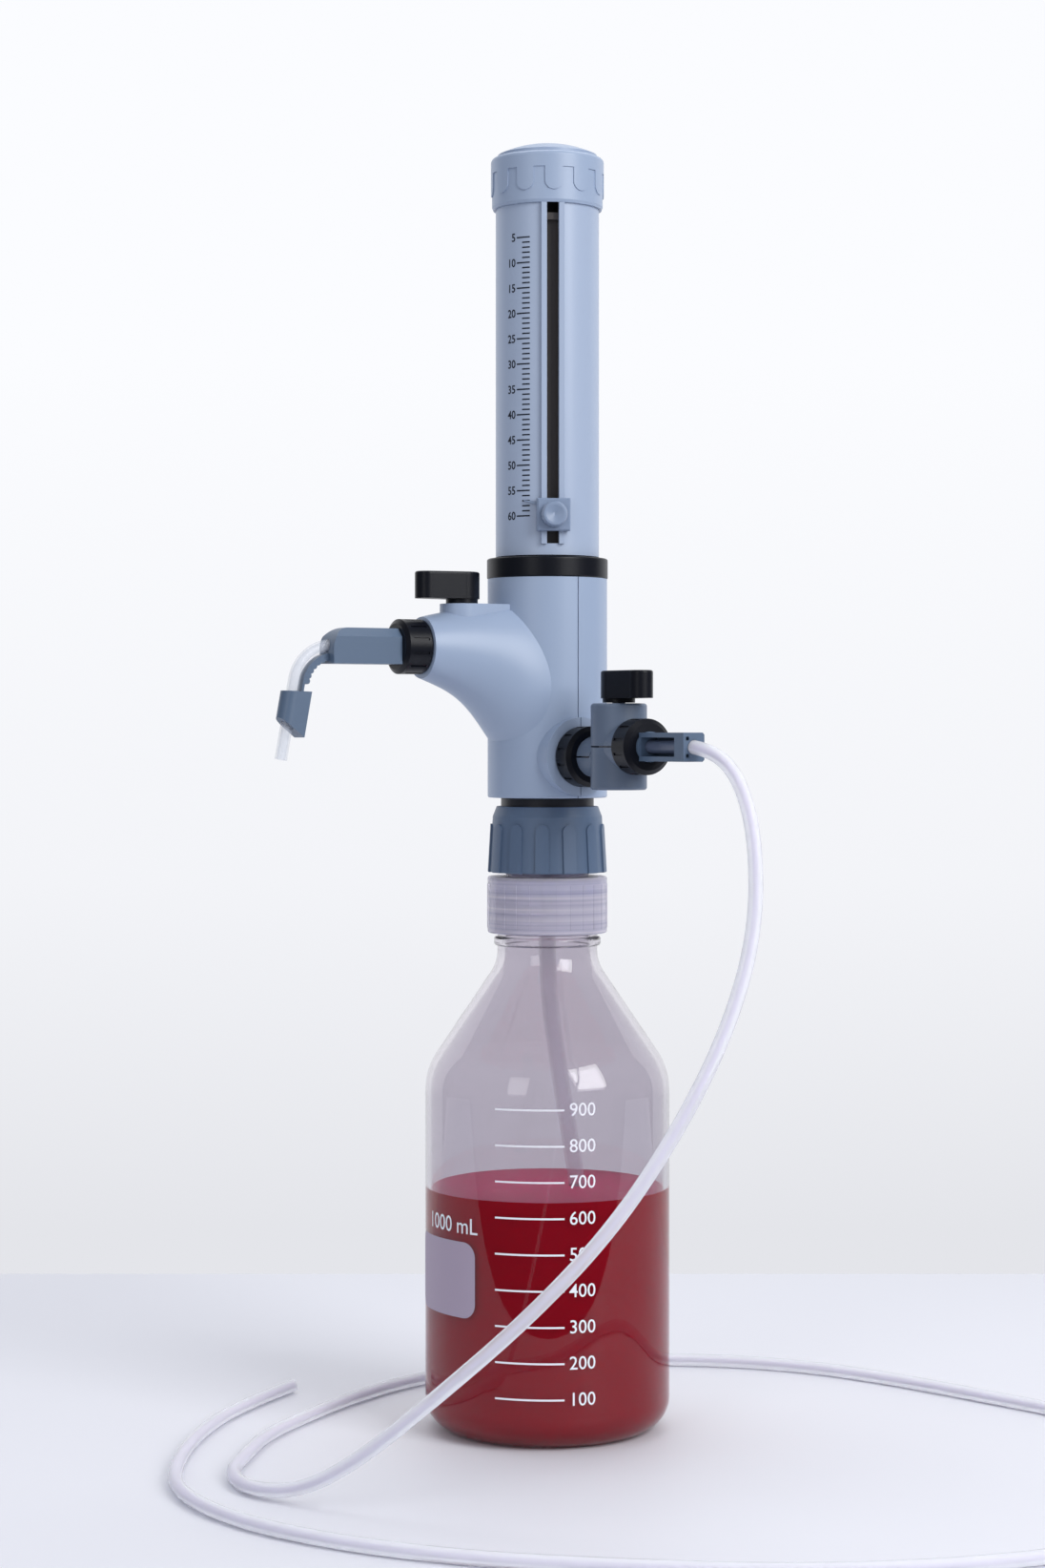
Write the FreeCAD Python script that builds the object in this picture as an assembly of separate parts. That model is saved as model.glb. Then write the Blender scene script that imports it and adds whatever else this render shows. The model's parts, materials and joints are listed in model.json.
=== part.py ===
import FreeCAD, Part
import math
import os

from FreeCAD import Placement, Rotation, Vector

# A bottle-top dispenser on its one litre reagent bottle, all in millimetres.
# The origin is the middle of the bottle's base. The delivery arm points along -X,
# the return valve along -Y, and the pump stands up the Z axis.

# Bottle
bottle_radius = 50.5
bottle_height = 225.0
glass_wall = 2.4
base_corner = 13.0
neck_height = 33.1
neck_foot_height = bottle_height - neck_height
neck_foot_bend = 16.0
shoulder_rise = 44.1
shoulder_height = neck_foot_height - shoulder_rise
shoulder_bend = 28.0
neck_bore = 17.5
neck_wall = 3.2
neck_radius = neck_bore + neck_wall
finish_proud = 0.9
finish_radius = neck_radius + finish_proud
finish_height = 26.2
bead_proud = 0.5
bead_radius = finish_radius + bead_proud
bead_height = bottle_height - finish_height
bead_width = 3.8
thread_count = 3
thread_pitch = 4.0
thread_drop = 18.0
thread_foot = bottle_height - thread_drop
thread_depth = 0.75
thread_width = 2.0
liquid_height = 99.5

# Pouring ring and adapter
ring_thickness = 0.8
ring_gap = 0.2
ring_skirt = 5.0
adapter_wall = 2.1
adapter_radius = finish_radius + ring_thickness + ring_gap + adapter_wall
adapter_lift = 1.4
adapter_foot = bead_height + bead_width + adapter_lift
adapter_plate = 1.3
adapter_top = bottle_height + ring_thickness + ring_gap + adapter_plate
adapter_ribs = 26
stub_bore = 15.5
stub_wall = 4.4
stub_radius = stub_bore + stub_wall
relief_depth = 2.7
stub_relief = stub_radius - relief_depth
stub_height = 17.7
stub_top = adapter_top + stub_height
relief_height = 2.8

# Threaded collar, and the flange that it holds down on the gasket
running_gap = 0.3
gasket_thickness = 2.0
flange_height = 4.7
block_foot = stub_top + gasket_thickness
collar_gap = 1.7
collar_foot = adapter_top + collar_gap
collar_web = 4.2
collar_top = block_foot + flange_height + running_gap + collar_web
collar_wall = 2.4
collar_waist = stub_radius + running_gap + collar_wall
collar_flare = 1.3
collar_radius = collar_waist + collar_flare
collar_grips = 13
grip_turn = 234.4
grip_width = 5.6
grip_proud = 0.8

# Barrel, its guard, and the cup that both stand in
barrel_bore = 12.4
barrel_wall = 2.1
barrel_radius = barrel_bore + barrel_wall
barrel_play = 0.7
guard_bore = barrel_radius + barrel_play
guard_wall = 0.8
guard_radius = guard_bore + guard_wall
cup_wall = 4.2
cup_radius = guard_bore + cup_wall
cup_play = 0.2
spigot_wall = 2.1
spigot_radius = cup_radius + cup_play + spigot_wall

# Housing
spigot_step = 3.0
column_radius = spigot_radius + spigot_step
housing_gap = 3.6
column_foot = collar_top + housing_gap
column_height = 90.2
column_top = column_foot + column_height
shell_wall = 2.4
seam_gap = 0.4
jacket_gap = 0.6
arm_drop = 28.8
arm_height = column_top - arm_drop
arm_end = 59.0
arm_mouth_radius = 12.5
arm_mouth_drop = 0.3
arm_root_rise = 8.2
arm_swell_rise = 23.7
port_rise = 17.0
port_height = column_foot + port_rise
port_boss_radius = 16.0
port_proud = 2.1
port_boss_end = column_radius + port_proud
spigot_height = 5.0

# Valve block and what is in it
neck_step = 0.7
block_neck = stub_radius - neck_step
block_radius = 15.0
cup_depth = 5.0
cup_floor = column_top - cup_depth
arm_tube_radius = 8.0
thread_proud = 0.7
thread_radius = arm_tube_radius + thread_proud
thread_play = 0.1
arm_thread_length = 7.6
arm_tube_end = arm_end + arm_thread_length
port_thread_length = 5.4
port_tube_end = port_boss_end + port_thread_length
channel_bore = 2.5
fit_gap = 0.05
intake_radius = 8.0
intake_depth = 15.0
intake_top = block_foot + intake_depth
intake_height = 26.0
intake_foot = intake_top - intake_height
dip_radius = 3.5
dip_wall = 1.0
dip_bore = dip_radius - dip_wall
nipple_radius = dip_bore - 2 * fit_gap
nipple_length = 22.0
nipple_foot = intake_foot - nipple_length
ball_radius = 4.0
ball_play = 1.6
chamber_radius = ball_radius + ball_play
chamber_height = 10.0
intake_seat_bore = 2.8
discharge_ball_radius = 3.2
discharge_play = 1.4
discharge_chamber = discharge_ball_radius + discharge_play
discharge_start = block_radius + 2.0
discharge_seat_length = 7.0
discharge_seat_end = discharge_start + discharge_seat_length
discharge_room = 10.0
discharge_chamber_end = discharge_seat_end + discharge_room
discharge_seat_bore = 2.0

# Dip tube's bends on its way to the corner of the bottle
dip_knee = Vector(0, 0, 178)
dip_knee_bend = 260.0
dip_waist = Vector(11, -6.4, 98)
dip_waist_bend = 400.0
dip_end = Vector(24.2, -14, 8.5)

# Levers and their plugs
plug_radius = 5.0
plug_bore = 2.2
pivot_wall = 1.4
priming_pivot = discharge_chamber_end + plug_radius + pivot_wall
stem_radius = 2.6
stem_height = 7.0
boss_radius = 9.0
boss_rise = 17.7
boss_top = arm_height + boss_rise
lever_reach = 21.0
lever_tail = 7.2
lever_tip = 5.0
lever_height = 11.0
lever_hub = 6.5
hub_height = 1.7
lever_lift = 0.3

# Union nuts
nut_bore = thread_radius + thread_play
nut_wall = 2.3
nut_radius = nut_bore + nut_wall
port_nut_wall = 3.5
port_nut_radius = nut_bore + port_nut_wall
nut_length = 11.6
port_nut_length = 9.6
hose_nut_length = 10.7
nut_web = 2.3
neck_stub = 6.0
nut_hole = neck_stub + thread_play
nut_chamfer = 1.8
nut_grooves = 12
groove_depth = 0.45
groove_width = 1.1
clamp_play = 0.2
clamp_flange = nut_bore - clamp_play
clamp_thickness = 1.6

# Delivery nozzle
holder_gap = 0.2
holder_length = 30.5
holder_end = arm_end + running_gap + nut_length + holder_gap + holder_length
holder_height = 14.4
holder_width = 13.0
holder_round = 8.0
holder_chamfer = 3.6
holder_wall = 1.5
delivery_radius = 2.5
delivery_wall = 0.75
delivery_bore = delivery_radius - delivery_wall
delivery_bend = 16.7
bend_inset = 2.1
bend_start = holder_end - bend_inset
tip_lean = 10.5
tip_straight = 32.2
spine_gap = 0.5
spine_thickness = 0.9
spine_width = 4.4
spine_beads = 7
spine_bead_radius = 1.25
guard_half_width = 4.75
guard_inner = 6.4
guard_outer = 4.6
guard_start = 4.5
guard_back = 17.6
guard_front = 11.5
guard_slope = 0.8

# Return valve
valve_radius = 11.2
valve_standoff = 8.2
valve_distance = port_boss_end + running_gap + port_nut_length + valve_standoff + valve_radius
valve_drop = 13.0
valve_foot = port_height - valve_drop
valve_rise = 21.4
valve_top = port_height + valve_rise
valve_edge = 1.2
hose_port_rise = 4.2
hose_port_height = port_height + hose_port_rise
jacket_wall = 3.2
jacket_bore = valve_radius - jacket_wall
rear_stub_radius = 8.2
front_stub_radius = 10.2
core_tube = 4.5
core_gap = 0.1
valve_plug_radius = 4.0
hose_nut_gap = 0.5
hose_holder_height = 11.2
hose_holder_width = 9.6
hose_holder_bar = 1.9
hose_holder_length = 31.8
hose_holder_end = (valve_distance + valve_radius + hose_nut_gap + hose_nut_length + holder_gap
                   + hose_holder_length)
hose_plate = 6.5
tail_gap = 0.4

# Volume stop
millilitre = 2.065
full_volume = 60
set_volume = 57.0
slider_lead = 0.6
slider_width = 13.6
slider_height = 13.2
slider_thickness = 3.0
slider_gap = 0.3
slider_neck_inset = 1.6
lug_half_width = 5.0
lug_height = 6.0
lug_play = 0.4
pointer_turn = 32.5
pointer_thickness = 0.8
knob_radius = 5.25
knob_length = 4.2
knob_grooves = 18
knob_screw = 1.5

# Pump
lock_seat = 0.05
lock_proud = 0.3
lock_radius = column_radius + lock_proud
lock_height = 8.3
lug_clear = guard_radius + lug_play
piston_height = 15.0
piston_play = 0.3
piston_radius = barrel_bore - piston_play
seal_radius = barrel_bore - fit_gap
seal_depth = 1.3
seal_groove = piston_radius - seal_depth
seal_height = 2.4
seal_count = 2
rod_radius = 8.0
rod_wall = 2.5
rod_bore = rod_radius - rod_wall
lug_thickness = 2.55
sleeve_bore = lug_clear + lug_thickness + slider_gap
sleeve_wall = 2.1
sleeve_radius = sleeve_bore + sleeve_wall
sleeve_gap = 0.65
sleeve_foot = column_top + lock_seat + lock_height + sleeve_gap
slot_turn = 245.5
slot_width = 5.0
slot_lift = 4.6
slot_foot = sleeve_foot + slot_lift
zero_line = (slot_foot + slider_gap - slider_neck_inset + slider_height - slider_lead
             + full_volume * millilitre)
sleeve_head = 18.1
sleeve_top = zero_line + sleeve_head
barrel_drop = 2.8
barrel_top = zero_line - barrel_drop
stop_flange = 3.0
flange_play = 0.65
stop_flange_radius = sleeve_bore - flange_play
rail_width = 2.2
rail_proud = 1.1
rail_overhang = 0.2
cap_web = 3.0
cap_recess = 3.5
cap_gap = 0.2
cap_top = sleeve_top + cap_gap + cap_web + cap_recess
cap_skirt = 14.5
cap_foot = sleeve_top - cap_skirt
cap_play = 0.1
cap_wall = 1.45
cap_radius = sleeve_radius + cap_play + cap_wall
cap_proud = 0.45
cap_tongues = 12
tongue_width = 7.4
tongue_lift = 5.1
tongue_foot = cap_foot + tongue_lift
tongue_turn = 246.4
band_height = 6.7
band_foot = cap_top - band_height
band_depth = 1.4
cap_rounding = 1.8
cap_lip = 2.4
disc_radius = cap_radius - cap_lip
rim_rise = 1.4
disc_rim = cap_top + rim_rise
dome_rise = 4.6
disc_apex = disc_rim + dome_rise
cap_screw_radius = 2.5
cap_screw_head = 4.5

# Return hose
hose_radius = 2.75
hose_route = [
    Vector(0, -hose_holder_end, hose_port_height),
    Vector(0, -127, 279.2),
    Vector(0, -143.5, 267),
    Vector(-3, -157, 245),
    Vector(-9, -165, 212),
    Vector(-24, -169, 178),
    Vector(-45, -169, 144),
    Vector(-68, -161, 109),
    Vector(-92, -143, 77),
    Vector(-114, -117, 47),
    Vector(-133, -88, 19),
    Vector(-146, -66, 5),
    Vector(-157, -44, hose_radius),
    Vector(-152, -18, hose_radius),
    Vector(-134, 6, hose_radius),
    Vector(-113, 32, hose_radius),
    Vector(-84, 54, hose_radius),
    Vector(-52, 76, hose_radius),
    Vector(-18, 93, hose_radius),
    Vector(20, 101, hose_radius),
    Vector(60, 98, hose_radius),
    Vector(98, 81, hose_radius),
    Vector(131, 58, hose_radius),
    Vector(156, 26, hose_radius),
    Vector(172, -14, hose_radius),
    Vector(184, -58, hose_radius),
    Vector(196, -104, hose_radius),
    Vector(199, -154, hose_radius),
    Vector(186, -203, hose_radius),
    Vector(152, -243, hose_radius),
    Vector(104, -265, hose_radius),
    Vector(54, -270, hose_radius),
    Vector(4, -260, hose_radius),
    Vector(-46, -238, hose_radius),
    Vector(-92, -204, hose_radius),
    Vector(-134, -167, hose_radius),
    Vector(-164, -124, hose_radius),
    Vector(-181, -78, hose_radius),
    Vector(-181, -32, hose_radius),
    Vector(-163, 8, hose_radius),
    Vector(-136, 48, hose_radius),
    Vector(-102, 84, hose_radius),
    Vector(-64, 110, hose_radius),
]

up = Vector(0, 0, 1)
origin = Vector(0, 0, 0)
parts = {}


# Lines, profiles and simple solids
def corner(before, point, after, radius):
    """The start, middle and end of the arc that rounds one corner of a path."""
    back = (before - point).normalize()
    ahead = (after - point).normalize()
    half = back.getAngle(ahead) / 2
    inward = (back + ahead).normalize()
    centre = point + inward * (radius / math.sin(half))
    reach = radius / math.tan(half)
    return point + back * reach, centre - inward * radius, point + ahead * reach


def rounded_edges(points, radii, closed):
    """Straight edges along the points, joined by tangent arcs of the given radii."""
    count = len(points)
    edges = []
    last = None if closed else points[0]
    first = None
    inner = range(count) if closed else range(1, count - 1)
    for i in inner:
        start, middle, end = points[i], None, points[i]
        if radii[i] > 0:
            start, middle, end = corner(points[i - 1], points[i], points[(i + 1) % count], radii[i])
        if last is not None:
            edges.append(Part.LineSegment(last, start).toShape())
        if first is None:
            first = start
        if middle is not None:
            edges.append(Part.Arc(start, middle, end).toShape())
        last = end
    finish = first if closed else points[-1]
    edges.append(Part.LineSegment(last, finish).toShape())
    return edges


def outline(spots):
    """A closed face in the XZ plane from (x, z) or (x, z, corner radius) spots."""
    points = [Vector(s[0], 0, s[1]) for s in spots]
    radii = [s[2] if len(s) > 2 else 0 for s in spots]
    return Part.Face(Part.Wire(rounded_edges(points, radii, True)))


def turned(spots, place=None):
    """A solid of revolution about Z, then moved to its place."""
    solid = outline(spots).revolve(origin, up, 360)
    return moved(solid, place)


def moved(shape, place):
    """A copy of the shape at its place."""
    if place is None:
        return shape
    copy = shape.copy()
    copy.Placement = place.multiply(copy.Placement)
    return copy


def disc(radius, low, high, place=None, x=0.0, y=0.0):
    """A cylinder from one height to another."""
    return moved(Part.makeCylinder(radius, high - low, Vector(x, y, low), up), place)


def tube(radius, bore, low, high, place=None, x=0.0, y=0.0):
    """A plain tube from one height to another."""
    return disc(radius, low, high, place, x, y).cut(disc(bore, low - 1, high + 1, place, x, y))


def block(x0, x1, y0, y1, z0, z1, place=None):
    """A box between two corners."""
    return moved(Part.makeBox(x1 - x0, y1 - y0, z1 - z0, Vector(x0, y0, z0)), place)


def fused(shapes):
    """One solid out of several that overlap."""
    return shapes[0].multiFuse(shapes[1:]).removeSplitter()


def around(shape, count, first=0.0):
    """Copies of a shape, evenly spaced round the Z axis."""
    copies = []
    for i in range(round(count)):
        copy = shape.copy()
        copy.rotate(origin, up, first + 360.0 * i / count)
        copies.append(copy)
    return copies


def pipe(edges, radius):
    """A round bar swept along a smooth path."""
    path = Part.Wire(edges)
    start = edges[0].Vertexes[0].Point
    ahead = edges[0].Vertexes[1].Point - start
    ring = Part.Wire(Part.Circle(start, ahead, radius).toShape())
    return path.makePipeShell([ring], True, True)


along_arm = Placement(Vector(0, 0, arm_height), Rotation(up, Vector(-1, 0, 0)))
along_port = Placement(Vector(0, 0, port_height), Rotation(up, Vector(0, -1, 0)))
along_hose_port = Placement(Vector(0, 0, hose_port_height), Rotation(up, Vector(0, -1, 0)))
at_slot = Placement(origin, Rotation(up, slot_turn))


# Bottle, its liquid and its pouring ring
def bottle_cavity(top):
    """The inside of the bottle up to a height."""
    inner = bottle_radius - glass_wall
    floor = glass_wall + 0.6
    spots = [(0, floor), (inner, floor, base_corner - glass_wall)]
    spots.append((inner, shoulder_height - 1.2, shoulder_bend - glass_wall))
    spots.append((neck_bore, neck_foot_height - 0.4, neck_foot_bend))
    return turned(spots + [(neck_bore, top), (0, top)])


def thread_ridges():
    """Spots of the rounded ridges up the bottle's finish."""
    spots = []
    for i in range(thread_count):
        low = thread_foot + i * thread_pitch
        crest = finish_radius + thread_depth
        spots.append((finish_radius, low))
        spots.append((crest, low + thread_width * 0.3, 0.3))
        spots.append((crest, low + thread_width * 0.7, 0.3))
        spots.append((finish_radius, low + thread_width))
    return spots


def make_bottle():
    bead_top = bead_height + bead_width
    glass = turned([
        (0, 0),
        (bottle_radius, 0, base_corner),
        (bottle_radius, shoulder_height, shoulder_bend),
        (neck_radius, neck_foot_height, neck_foot_bend),
        (neck_radius, bead_height),
        (bead_radius, bead_height, 1.2),
        (bead_radius, bead_top, 1.2),
        (neck_radius, bead_top),
        (neck_radius, bead_top + 1.0),
        (finish_radius, bead_top + 2.0),
    ] + thread_ridges() + [
        (finish_radius, bottle_height, 1.0),
        (0, bottle_height),
    ])
    return glass.cut(bottle_cavity(bottle_height + 1))


def make_pouring_ring():
    top = bottle_height + ring_thickness
    return turned([
        (neck_bore - 1.4, bottle_height + 0.05),
        (finish_radius + 0.05, bottle_height + 0.05),
        (finish_radius + 0.05, bottle_height - ring_skirt),
        (finish_radius + ring_thickness, bottle_height - ring_skirt),
        (finish_radius + ring_thickness, top, 0.4),
        (neck_bore - 1.4, top),
    ])


def dip_edges(extra):
    """The path of the dip tube, with a length added at both ends for cutting."""
    points = [
        Vector(0, 0, intake_foot - 1.0 + extra),
        dip_knee,
        dip_waist,
        dip_end - Vector(0, 0, extra),
    ]
    return rounded_edges(points, [0, dip_knee_bend, dip_waist_bend, 0], False)


def make_dip_tube():
    return pipe(dip_edges(0), dip_radius).cut(pipe(dip_edges(3), dip_bore))


def make_reagent():
    filled = bottle_cavity(bottle_height).common(disc(bottle_radius, 0, liquid_height))
    return filled.cut(pipe(dip_edges(0), dip_radius))


# Adapter, gasket and collar between the bottle and the pump
def make_adapter():
    plate = adapter_top - adapter_plate
    shape = turned([
        (stub_bore, plate),
        (adapter_radius - adapter_wall, plate),
        (adapter_radius - adapter_wall, adapter_foot),
        (adapter_radius, adapter_foot, 0.8),
        (adapter_radius, adapter_top, 0.8),
        (stub_relief, adapter_top),
        (stub_relief, adapter_top + relief_height),
        (stub_radius, adapter_top + relief_height + 1.0),
        (stub_radius, stub_top, 0.6),
        (stub_bore, stub_top),
    ])
    ribs = around(block(adapter_radius - 0.3, adapter_radius + 0.15, -0.5, 0.5,
                        adapter_foot + 2, adapter_top - 3), adapter_ribs)
    return fused([shape] + ribs)


def make_neck_gasket():
    return tube(stub_radius - 0.4, stub_bore, stub_top, stub_top + gasket_thickness)


def collar_skin(extra):
    """The collar's tapered outside, or the face of its grips when extra is added."""
    shoulder = collar_top - collar_web
    return [
        (0, collar_foot),
        (collar_radius + extra, collar_foot, 0.5),
        (collar_waist + extra, shoulder),
        (collar_waist - 1.6 + extra, collar_top, 0.5),
        (0, collar_top),
    ]


def make_collar():
    grip_top = collar_top - collar_web - 3.0 - grip_width / 2
    pad = fused([
        block(collar_waist - 3, collar_radius + 4, -grip_width / 2, grip_width / 2,
              collar_foot - 1, grip_top),
        Part.makeCylinder(grip_width / 2, 7 + collar_radius - collar_waist,
                          Vector(collar_waist - 3, 0, grip_top), Vector(1, 0, 0)),
    ])
    skin = turned(collar_skin(grip_proud))
    grips = [pad_copy.common(skin) for pad_copy in around(pad, collar_grips, grip_turn)]
    shape = fused([turned(collar_skin(0))] + grips)
    shape = shape.cut(disc(stub_radius + running_gap, collar_foot - 1, collar_top - collar_web))
    return shape.cut(disc(block_neck + running_gap, collar_foot, collar_top + 1))


# Valve block with its side arms, seats and balls
def make_valve_block():
    foot = block_foot
    flange_top = foot + flange_height
    body = turned([
        (0, foot),
        (stub_radius, foot, 0.4),
        (stub_radius, flange_top),
        (block_neck, flange_top),
        (block_neck, column_foot + shell_wall + 1.5),
        (block_radius, column_foot + shell_wall + 4.5),
        (block_radius, cup_floor - 6),
        (cup_radius, cup_floor - 1.5),
        (cup_radius, cup_floor + 6.5),
        (0, cup_floor + 6.5),
    ])
    solid = fused([
        body,
        disc(arm_tube_radius, 5, arm_tube_end - 5, along_arm),
        disc(thread_radius, arm_end - 2, arm_tube_end, along_arm),
        disc(thread_radius, 5, port_tube_end, along_port),
    ])
    cuts = [
        disc(intake_radius + fit_gap, foot - 1, intake_top),
        disc(chamber_radius, intake_top - 0.1, intake_top + chamber_height),
        disc(channel_bore, intake_top, cup_floor + 1),
        disc(guard_bore - 0.1, cup_floor, cup_floor + 8),
        disc(plug_bore, 0, arm_tube_end + 1, along_arm),
        disc(discharge_chamber, discharge_start, discharge_chamber_end, along_arm),
        disc(plug_bore, 0, port_tube_end + 1, along_port),
        disc(plug_radius + fit_gap, arm_height - arm_tube_radius - 1,
             arm_height + arm_tube_radius + 1, None, -priming_pivot),
    ]
    return solid.cut(Part.makeCompound(cuts))


def make_intake_seat():
    """The screwed-in foot of the block, with its hose nipple and the ball's seat."""
    shape = turned([
        (0, nipple_foot),
        (nipple_radius, nipple_foot, 0.3),
        (nipple_radius, intake_foot),
        (intake_radius - 1.5, intake_foot),
        (intake_radius, intake_foot + 1.5),
        (intake_radius, intake_top),
        (0, intake_top),
    ])
    cone = turned([
        (0, intake_top - 6),
        (intake_seat_bore, intake_top - 3),
        (ball_radius + 0.9, intake_top + 0.01),
        (0, intake_top + 0.01),
    ])
    return shape.cut(disc(nipple_radius - 0.9, nipple_foot - 1, intake_top - 4)).cut(cone)


def intake_ball_height():
    """The ball's middle, where it rests a hair above its conical seat."""
    slope = math.atan2(3.01, ball_radius + 0.9 - intake_seat_bore)
    return intake_top - 3 - intake_seat_bore * math.tan(slope) + (ball_radius + fit_gap) / math.cos(slope)


def make_intake_ball():
    return Part.makeSphere(ball_radius, Vector(0, 0, intake_ball_height()))


def make_discharge_seat():
    ring = tube(discharge_chamber - fit_gap, discharge_seat_bore, discharge_start, discharge_seat_end, along_arm)
    ball = Part.makeSphere(discharge_ball_radius + fit_gap, discharge_ball_place())
    return ring.cut(ball)


def discharge_ball_place():
    return Vector(-discharge_seat_end - 1.6, 0, arm_height)


def make_discharge_ball():
    return Part.makeSphere(discharge_ball_radius, discharge_ball_place())


# Levers and the valve plugs that they turn
def lever(pivot, top_of_boss, heading):
    """A tapered paddle on a round hub, pointing along heading."""
    low = top_of_boss + lever_lift + hub_height
    high = low + lever_height
    paddle = fused([
        disc(lever_tail, low, high),
        disc(lever_tip, low, high, None, lever_reach - lever_tip),
        Part.Face(Part.makePolygon([
            Vector(0, -lever_tail, low),
            Vector(lever_reach - lever_tip, -lever_tip, low),
            Vector(lever_reach - lever_tip, lever_tip, low),
            Vector(0, lever_tail, low),
            Vector(0, -lever_tail, low),
        ])).extrude(Vector(0, 0, high - low)),
    ])
    rim = [e for e in paddle.Edges if all(abs(v.Z - high) < 0.01 for v in e.Vertexes)]
    paddle = paddle.makeFillet(0.9, rim)
    shape = fused([paddle, disc(lever_hub, top_of_boss + lever_lift, low + 1)])
    shape = shape.cut(disc(stem_radius, top_of_boss - 1, top_of_boss + stem_height))
    shape.rotate(origin, up, heading)
    shape.translate(pivot)
    return shape


def plug(pivot, radius, foot, top, bore_height, bore_way):
    """A valve plug with its cross bore and the stem that carries the lever."""
    stem_foot = top + lever_lift / 2
    body = fused([
        disc(radius, foot, top, None, pivot.x, pivot.y),
        disc(stem_radius, stem_foot - 1, top + stem_height, None, pivot.x, pivot.y),
    ])
    start = Vector(pivot.x, pivot.y, bore_height) - bore_way * (radius + 1)
    return body.cut(Part.makeCylinder(plug_bore - 0.2, 2 * radius + 2, start, bore_way))


def make_priming_lever():
    return lever(Vector(-priming_pivot, 0, 0), boss_top, 180)


def make_priming_plug():
    foot = arm_height - arm_tube_radius
    return plug(Vector(-priming_pivot, 0, 0), plug_radius, foot, boss_top, arm_height, Vector(1, 0, 0))


def make_valve_lever():
    return lever(Vector(0, -valve_distance, 0), valve_top, 270)


def make_valve_plug():
    middle = (port_height + hose_port_height) / 2
    return plug(Vector(0, -valve_distance, 0), valve_plug_radius, valve_foot + 5, valve_top,
                middle, Vector(0, 1, 0))


# Union nuts
def nut(radius, length, start, place):
    """A union nut with its web at the far end, grooves round it and a wide chamfer."""
    end = start + length
    shape = turned([
        (nut_bore, start),
        (radius, start, 0.6),
        (radius, end - nut_chamfer * 0.7),
        (radius - nut_chamfer, end),
        (nut_hole, end),
        (nut_hole, end - nut_web),
        (nut_bore, end - nut_web),
    ])
    groove = block(radius - groove_depth, radius + 1, -groove_width / 2, groove_width / 2,
                   start + 1.6, end - nut_chamfer - 1.2)
    return moved(shape.cut(Part.makeCompound(around(groove, nut_grooves, 15))), place)


def make_nozzle_nut():
    return nut(nut_radius, nut_length, arm_end + running_gap, along_arm)


def make_port_nut():
    return nut(port_nut_radius, port_nut_length, port_boss_end + running_gap, along_port)


def make_hose_nut():
    return nut(nut_radius, hose_nut_length, hose_nut_start(), along_hose_port)


def hose_nut_start():
    return valve_distance + valve_radius + hose_nut_gap


# Housing shells
def arm_loft(inset, mouth):
    """The funnel of the delivery arm, from its mouth into the column."""
    middle = arm_height - arm_mouth_drop
    stations = [
        (mouth, middle + arm_mouth_radius, middle - arm_mouth_radius, arm_mouth_radius),
        (arm_end - 9.4, arm_height + 14.2, arm_height - 16.5, 13.8),
        (arm_end - 22.9, arm_height + 16.4, arm_height - 25.0, 16.8),
        (column_radius + 0.3, arm_height + 18.2, column_foot + arm_swell_rise, 20.0),
        (column_radius - 16.7, arm_height + 19.8, column_foot + arm_root_rise, 22.0),
    ]
    wires = []
    for distance, high, low, half_width in stations:
        tall = (high - low) / 2 - inset
        wide = half_width - inset
        centre = Vector(-distance, 0, (high + low) / 2)
        if tall > wide:
            ring = Part.Ellipse(centre + Vector(0, 0, tall), centre + Vector(0, wide, 0), centre)
        else:
            ring = Part.Circle(centre, Vector(-1, 0, 0), tall)
        wires.append(Part.Wire(ring.toShape()))
    return Part.makeLoft(wires, True, False)


def make_housing():
    """Both shells as one closed form, before they are parted at the seam."""
    pad = fused([
        disc(boss_radius, arm_height + 5, boss_top, None, -priming_pivot),
        block(-priming_pivot, -column_radius + 4, -boss_radius, boss_radius, arm_height + 5, boss_top),
    ])
    outside = fused([
        turned([(0, column_foot), (column_radius, column_foot, 0.8), (column_radius, column_top),
                (0, column_top)]),
        arm_loft(0, arm_end),
        disc(spigot_radius, column_top - 1, column_top + spigot_height),
        pad,
        disc(port_boss_radius, 10, port_boss_end, along_port),
    ])
    inside = fused([
        disc(column_radius - shell_wall, column_foot + shell_wall, column_top - shell_wall),
        arm_loft(shell_wall, arm_end - shell_wall),
    ])
    holes = Part.makeCompound([
        disc(block_neck + 0.1, column_foot - 1, column_foot + shell_wall + 1),
        disc(cup_radius + cup_play, column_top - shell_wall - 1, column_top + spigot_height + 1),
        disc(thread_radius + thread_play, arm_end - shell_wall - 1, arm_end + 1, along_arm),
        disc(thread_radius + thread_play, 15, port_boss_end + 1, along_port),
        disc(plug_radius + running_gap, arm_height + 5, boss_top + 1, None, -priming_pivot),
    ])
    return outside.cut(inside).cut(holes)


def make_shells():
    housing = make_housing()
    far = 2 * arm_end
    low = column_foot - far
    high = column_top + far
    left = housing.common(block(-far, -seam_gap / 2, -far, far, low, high))
    right = housing.common(block(seam_gap / 2, far, -far, far, low, high))
    return left, right


# Delivery nozzle
def nozzle_point(radius, turn):
    """A point about the centre of the delivery tube's bend."""
    centre = Vector(-bend_start, 0, arm_height - delivery_bend)
    angle = math.radians(90 + turn)
    return centre + Vector(radius * math.cos(angle), 0, radius * math.sin(angle))


def tip_way():
    lean = math.radians(tip_lean)
    return Vector(-math.sin(lean), 0, -math.cos(lean))


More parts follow.
